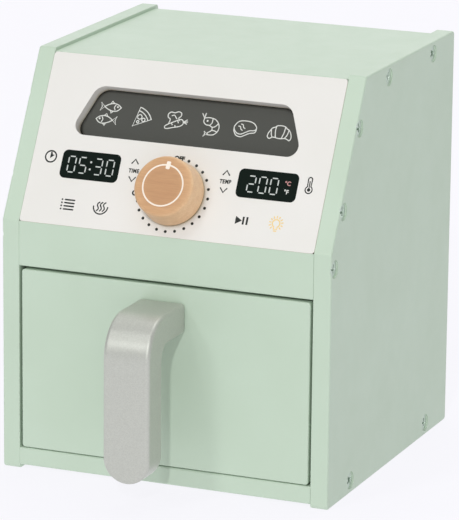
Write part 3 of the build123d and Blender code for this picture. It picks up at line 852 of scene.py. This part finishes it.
def croissant(x, y):
    """A croissant of five rolls."""
    outline = [(-6.0, -2.6), (-5.9, -0.9), (-4.9, 0.9), (-4.1, 2.0), (-2.7, 2.6), (-1.7, 3.3), (0.4, 3.5)]
    outline += [(2.3, 3.1), (3.3, 2.2), (4.6, 1.5), (5.7, -0.3), (6.1, -2.2), (5.4, -3.5), (4.2, -3.0)]
    outline += [(2.9, -2.7), (1.4, -2.9), (-0.6, -2.9), (-2.1, -2.6), (-3.5, -2.6), (-4.9, -3.3)]
    folds = [
        [(-4.6, 1.3), (-4.3, -0.9), (-3.6, -2.6)],
        [(-2.3, 2.9), (-2.4, 0.4), (-1.9, -2.6)],
        [(2.4, 3.0), (2.1, 0.2), (1.2, -2.9)],
        [(4.4, 1.6), (3.9, -0.8), (2.8, -2.7)],
    ]
    paths = [(smooth(outline, True), True)] + [(smooth(fold), False) for fold in folds]
    return [(moved(path, x, y), closed) for path, closed in paths]


def sheet_sign(name, paths, eyes=()):
    """White lines on the sheet, and round eyes."""
    print_lines(name, paths, FOOD_LINE, white_print, -SHEET_DEPTH)
    if eyes:
        rounds = [circle(x, y, EYE_RADIUS, 16) for x, y in eyes]
        print_patches(name + "_eyes", rounds, white_print, -SHEET_DEPTH)


upper_fish, upper_eye = fish(-44.1, 62.6, 1)
lower_fish, lower_eye = fish(-45.4, 56.1, -1)
sheet_sign("fish_sign", upper_fish + lower_fish, [upper_eye, lower_eye])
sheet_sign("pizza_sign", pizza_slice(-31.0, 54.3))
sheet_sign("toast_and_carrot_sign", toast_and_carrot(-9.0, 58.8))
shrimp_lines, shrimp_eye = shrimp(9.4, 58.6)
sheet_sign("shrimp_sign", shrimp_lines, [shrimp_eye])
sheet_sign("steak_sign", steak(27.3, 58.6))
sheet_sign("croissant_sign", croissant(45.5, 58.4))

# Ring and pointer on the knob
RING_X, RING_UP = dial_centre.x / MM, DIAL_UP + 0.15
RING_RADIUS, RING_LINE = 10.2, 0.8
POINTER_OUT, POINTER_WIDTH, POINTER_LENGTH, POINTER_ROUND = 10.1, 2.1, 3.9, 0.6
POINTER_TURN, POINTER_FILM = -4.5, 0.09
ring = circle(RING_X, RING_UP, RING_RADIUS, 72)
print_lines("knob_ring", [(ring, True)], RING_LINE, cream_print, KNOB_FACE, "dial")
pointer = rounded_box(0, POINTER_OUT, POINTER_WIDTH, POINTER_LENGTH, POINTER_ROUND)
pointer = moved(pointer, RING_X, RING_UP, POINTER_TURN)
print_patches("knob_pointer", [pointer], cream_print, KNOB_FACE, "dial", POINTER_FILM)

# Countersunk screws with a cross recess, in millimetres. The head narrows to its flat face over its edge
HEAD_RADIUS, SHANK_RADIUS, TIP_RADIUS = 4.0, 2.0, 0.25
EDGE_RADIUS, FACE_RADIUS = 3.97, 3.84
EDGE_DEPTH, HEAD_TOP, HEAD_DEPTH, TIP_LENGTH = 0.05, 0.1, 2.1, 4.0
CROSS_MOUTH, CROSS_FLOOR, CROSS_DEPTH = (4.7, 1.3), (3.2, 0.8), 1.8
SCREW_STEPS = 40


def cross(length, width):
    """The outline of a plus sign."""
    end, side = length / 2, width / 2
    half = [(end, -side), (end, side), (side, side), (side, end), (-side, end), (-side, side)]
    return half + [(-x, -y) for x, y in half]


def screw_template(length):
    """One countersunk screw along Z with its face at the origin. Its length is in millimetres."""
    made = bmesh.new()

    def loop(outline, z):
        """New corners along an outline."""
        return [made.verts.new((x * MM, y * MM, z * MM)) for x, y in outline]

    def turned(radius, z):
        """New corners round the screw."""
        return loop(circle(0, 0, radius, SCREW_STEPS), z)

    def sides(corners):
        """A loop's corners in pairs, each with the next one round."""
        return zip(corners, corners[1:] + corners[:1])

    def skirt(upper, lower):
        """Faces from one loop down to the next."""
        for (a, b), (c, d) in zip(sides(upper), sides(lower)):
            made.faces.new((a, c, d, b))

    face = turned(FACE_RADIUS, 0)
    mouth = loop(cross(*CROSS_MOUTH), 0)
    edges = [made.edges.new(side) for corners in (face, mouth) for side in sides(corners)]
    bmesh.ops.triangle_fill(made, edges=edges, use_beauty=True, normal=(0, 0, 1))
    recess_floor = loop(cross(*CROSS_FLOOR), -CROSS_DEPTH)
    skirt(mouth, recess_floor)
    made.faces.new(recess_floor)
    profile = [
        (EDGE_RADIUS, -EDGE_DEPTH),
        (HEAD_RADIUS, -HEAD_TOP),
        (SHANK_RADIUS, -HEAD_DEPTH),
        (SHANK_RADIUS, TIP_LENGTH - length),
        (TIP_RADIUS, -length),
    ]
    upper = face
    for radius, z in profile:
        lower = turned(radius, z)
        skirt(upper, lower)
        upper = lower
    made.faces.new(upper)
    bmesh.ops.recalc_face_normals(made, faces=made.faces)
    mesh = bpy.data.meshes.new("screw")
    made.to_mesh(mesh)
    made.free()
    template = bpy.data.objects.new("screw_template", mesh)
    scene.collection.objects.link(template)
    return template


def screw_recipe():
    """Screws at the source's points: each faces its own way and is turned at random."""
    recipe = Recipe("side_screws", Screw=bpy.types.Object, Seed=3, Material=bpy.types.Material)
    given = recipe.given
    shape = recipe.node("GeometryNodeObjectInfo", Object=given["Screw"])["Geometry"]
    facing = recipe.node(
        "GeometryNodeInputNamedAttribute", {"data_type": "FLOAT_VECTOR"}, Name="facing"
    )["Attribute"]
    upright = recipe.node("FunctionNodeAlignRotationToVector", {"axis": "Z"}, Vector=facing)[0]
    placed = recipe.node(
        "GeometryNodeInstanceOnPoints", Points=given["Geometry"], Instance=shape, Rotation=upright
    )[0]
    random = recipe.node(
        "FunctionNodeRandomValue",
        {"data_type": "FLOAT"},
        input2=0.0,
        input3=math.tau,
        Seed=given["Seed"],
    )[1]
    turn = recipe.node("ShaderNodeCombineXYZ", Z=random)[0]
    turned = recipe.node(
        "GeometryNodeRotateInstances", Instances=placed, Rotation=turn, Local_Space=True
    )[0]
    return recipe.end(turned)


def head_places(node_name):
    """The middle of each screw's face in a CAD node, and the way that it faces."""
    low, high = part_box(node_name)
    shape = bmesh.new()
    shape.from_mesh(frame["nodes"][node_name].data)
    bmesh.ops.remove_doubles(shape, verts=shape.verts, dist=1e-6)
    seen, places = set(), []
    for start in shape.verts:
        if start in seen:
            continue
        island, todo = [], [start]
        seen.add(start)
        while todo:
            here = todo.pop()
            island.append(here.co)
            for edge in here.link_edges:
                other = edge.other_vert(here)
                if other not in seen:
                    seen.add(other)
                    todo.append(other)
        side = 1 if island[0].x > 0 else -1
        middle = [(min(c[k] for c in island) + max(c[k] for c in island)) / 2 for k in (1, 2)]
        places.append((Vector((high.x if side > 0 else low.x, *middle)), Vector((side, 0, 0))))
    shape.free()
    return places


side_screws = screw_recipe()
# Each group's body, its screws' length in millimetres, and the seed that turns their crosses
screw_groups = {
    "top_board_screws": ("casing", 30, 11),
    "control_panel_screws": ("casing", 20, 5),
    "front_rail_screws": ("casing", 30, 2),
    "bottom_board_screws": ("casing", 30, 7),
    "drawer_back_screws": ("drawer", 30, 4),
}
for node_name, (body, length, seed) in screw_groups.items():
    screw = screw_template(length)
    places = head_places(node_name)
    points = bpy.data.meshes.new(node_name + "_points")
    points.from_pydata([place for place, _ in places], [], [])
    facing = points.attributes.new("facing", "FLOAT_VECTOR", "POINT")
    facing.data.foreach_set("vector", [c for _, way in places for c in way])
    piece = grown(
        node_name + "_crossed", points, side_screws, Screw=screw, Seed=seed, Material=screw_steel
    )
    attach(piece, body)
    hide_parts(node_name)
    bpy.data.objects.remove(screw)

# Floor and light. Their sizes and distances are in metres
FLOOR_GLOW = 0.9
FLOOR_RADIUS = 14
floor_paper = Finish("floor_paper", Specular_IOR_Level=0.1)
paper = floor_paper.blend(floor_paper.noise(60, 3), linear(87, 87, 89), linear(89, 89, 91))
floor_paper.finish(
    Base_Color=paper,
    Roughness=floor_paper.spread(floor_paper.noise(20), 0.9, 0.95),
    Normal=floor_paper.bump(floor_paper.noise(1.5), 0.01),
    Emission_Color=linear(249, 248, 253),
    Emission_Strength=FLOOR_GLOW,
)
floor_shape = bmesh.new()
bmesh.ops.create_circle(floor_shape, cap_ends=True, segments=64, radius=FLOOR_RADIUS)
floor_mesh = bpy.data.meshes.new("floor")
floor_shape.to_mesh(floor_mesh)
floor_shape.free()
floor_mesh.materials.append(floor_paper.material)
floor = bpy.data.objects.new("floor", floor_mesh)
scene.collection.objects.link(floor)

WORLD_GLOW = 0.45
SKY_COLOUR = (0.98, 0.99, 1.0, 1.0)
LIGHT_AIM = Vector((0, 0.02, 0.1))
world = bpy.data.worlds.new("studio")
scene.world = world
world.use_nodes = True
sky = world.node_tree.nodes["Background"]
sky.inputs["Color"].default_value = SKY_COLOUR
sky.inputs["Strength"].default_value = WORLD_GLOW


def soft_light(name, azimuth, elevation, distance, size, strength):
    """A square light that faces the toy, at an azimuth counted from the front towards the right side.

    Strength is what a white card at the toy that faces it sends back, where 1 is white.
    """
    data = bpy.data.lights.new(name, "AREA")
    data.shape, data.size = "SQUARE", size
    data.energy = strength * math.pi * math.pi * distance * distance
    light = bpy.data.objects.new(name, data)
    a, e = math.radians(azimuth), math.radians(elevation)
    out = Vector((math.sin(a) * math.cos(e), -math.cos(a) * math.cos(e), math.sin(e)))
    turn = out.to_track_quat("Z", "Y").to_matrix().to_4x4()
    light.matrix_world = Matrix.Translation(LIGHT_AIM + out * distance) @ turn
    scene.collection.objects.link(light)


# The two bend lights stand under and over the place that the dark sheet mirrors to the camera. Each row
# gives a light's name, azimuth, elevation, distance, size and strength
studio_lights = (
    ("key_light", 14.5, 29, 4.0, 0.14, 0.24),
    ("low_bend_light", -22, 29, 4.0, 0.5, 0.09),
    ("high_bend_light", -22, 55, 4.0, 0.5, 0.085),
    ("front_light", 32, 12, 4.0, 3.0, 0.08),
    ("overhead_light", 180, 74, 4.5, 3.0, 0.29),
    ("back_light", 190, 22, 4.5, 3.6, 0.17),
)
for values in studio_lights:
    soft_light(*values)
